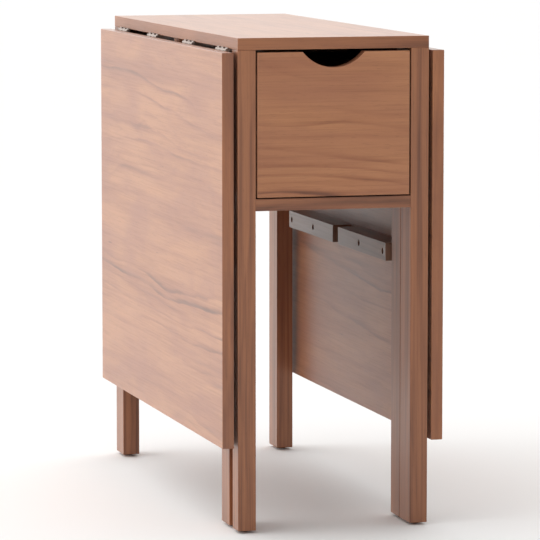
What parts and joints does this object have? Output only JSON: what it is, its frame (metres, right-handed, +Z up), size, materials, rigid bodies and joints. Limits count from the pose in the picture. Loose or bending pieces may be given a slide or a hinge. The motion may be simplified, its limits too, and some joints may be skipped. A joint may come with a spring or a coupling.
{
  "type": "gateleg table",
  "caption": "Narrow wooden table with a drawer, two hinged drop leaves and a swing-out gate leg that props each leaf",
  "frame": {"origin": "on the floor under the middle of the table", "axes": "+X to the right of someone facing the drawer, -Y towards the drawer front, +Z up"},
  "size_m": [0.3486, 0.8, 0.75],
  "materials": {
    "walnut_top": "satin lacquer",
    "walnut_leaf": "satin lacquer",
    "walnut_front": "satin lacquer",
    "walnut_post": "satin lacquer",
    "inner_wood": "matt",
    "box_wood": "matt",
    "steel": "satin",
    "brass": "satin",
    "dark_plastic": "matt"
  },
  "bodies": {
    "root": {"tabletop": "walnut_top", "carcass_bottom": "walnut_front", "carcass_side_left": "inner_wood", "carcass_side_right": "inner_wood", "carcass_back": "walnut_front", "post_front_left": "walnut_post", "post_front_right": "walnut_post", "post_rear_left": "walnut_post", "post_rear_right": "walnut_post", "carcass_dowels": "box_wood", "post_glides": "dark_plastic", "runner_left": "box_wood", "runner_right": "box_wood", "runner_screws": "steel", "drawer_catch_rail": "box_wood", "drawer_stop_blocks": "box_wood", "hinge_top_plates_left": "steel", "hinge_top_screws_left": "steel", "hinge_top_plates_right": "steel", "hinge_top_screws_right": "steel", "gate_bushes_left": "brass", "gate_bearer_left": "inner_wood", "gate_bushes_right": "brass", "gate_bearer_right": "inner_wood"},
    "drawer": {"drawer_front": "walnut_front", "drawer_side_left": "box_wood", "drawer_side_right": "box_wood", "drawer_back": "box_wood", "drawer_tray": "box_wood", "drawer_dowels": "box_wood"},
    "left_leaf": {"leaf_left": "walnut_leaf", "batten_left_front": "inner_wood", "batten_left_rear": "inner_wood", "batten_screws_left": "steel", "leaf_rest_left": "inner_wood", "hinge_leaf_plates_left": "steel", "hinge_pins_left": "steel", "hinge_leaf_screws_left": "steel"},
    "right_leaf": {"leaf_right": "walnut_leaf", "batten_right_front": "inner_wood", "batten_right_rear": "inner_wood", "batten_screws_right": "steel", "leaf_rest_right": "inner_wood", "hinge_leaf_plates_right": "steel", "hinge_pins_right": "steel", "hinge_leaf_screws_right": "steel"},
    "left_gate": {"gate_leg_left": "walnut_post", "gate_pivot_post_left": "walnut_post", "gate_upper_arm_left": "walnut_post", "gate_lower_arm_left": "walnut_post", "gate_pins_left": "steel", "gate_dowels_left": "box_wood", "gate_glide_left": "dark_plastic"},
    "right_gate": {"gate_leg_right": "walnut_post", "gate_pivot_post_right": "walnut_post", "gate_upper_arm_right": "walnut_post", "gate_lower_arm_right": "walnut_post", "gate_pins_right": "steel", "gate_dowels_right": "box_wood", "gate_glide_right": "dark_plastic"}
  },
  "joints": [
    {"name": "drawer_slide", "type": "slide", "parent": "root", "child": "drawer", "axis": [0, -1, 0], "range_m": [0, 0.45]},
    {"name": "left_leaf_hinge", "type": "hinge", "parent": "root", "child": "left_leaf", "pos_m": [-0.153, 0, 0.7287], "axis": [0, 1, 0], "range_deg": [0, 90]},
    {"name": "right_leaf_hinge", "type": "hinge", "parent": "root", "child": "right_leaf", "pos_m": [0.153, 0, 0.7287], "axis": [0, -1, 0], "range_deg": [0, 90]},
    {"name": "left_gate_pivot", "type": "hinge", "parent": "root", "child": "left_gate", "pos_m": [-0.136, -0.012, 0.62], "axis": [0, 0, -1], "range_deg": [0, 0.8]},
    {"name": "right_gate_pivot", "type": "hinge", "parent": "root", "child": "right_gate", "pos_m": [0.136, -0.012, 0.62], "axis": [0, 0, 1], "range_deg": [0, 0.8]}
  ]
}
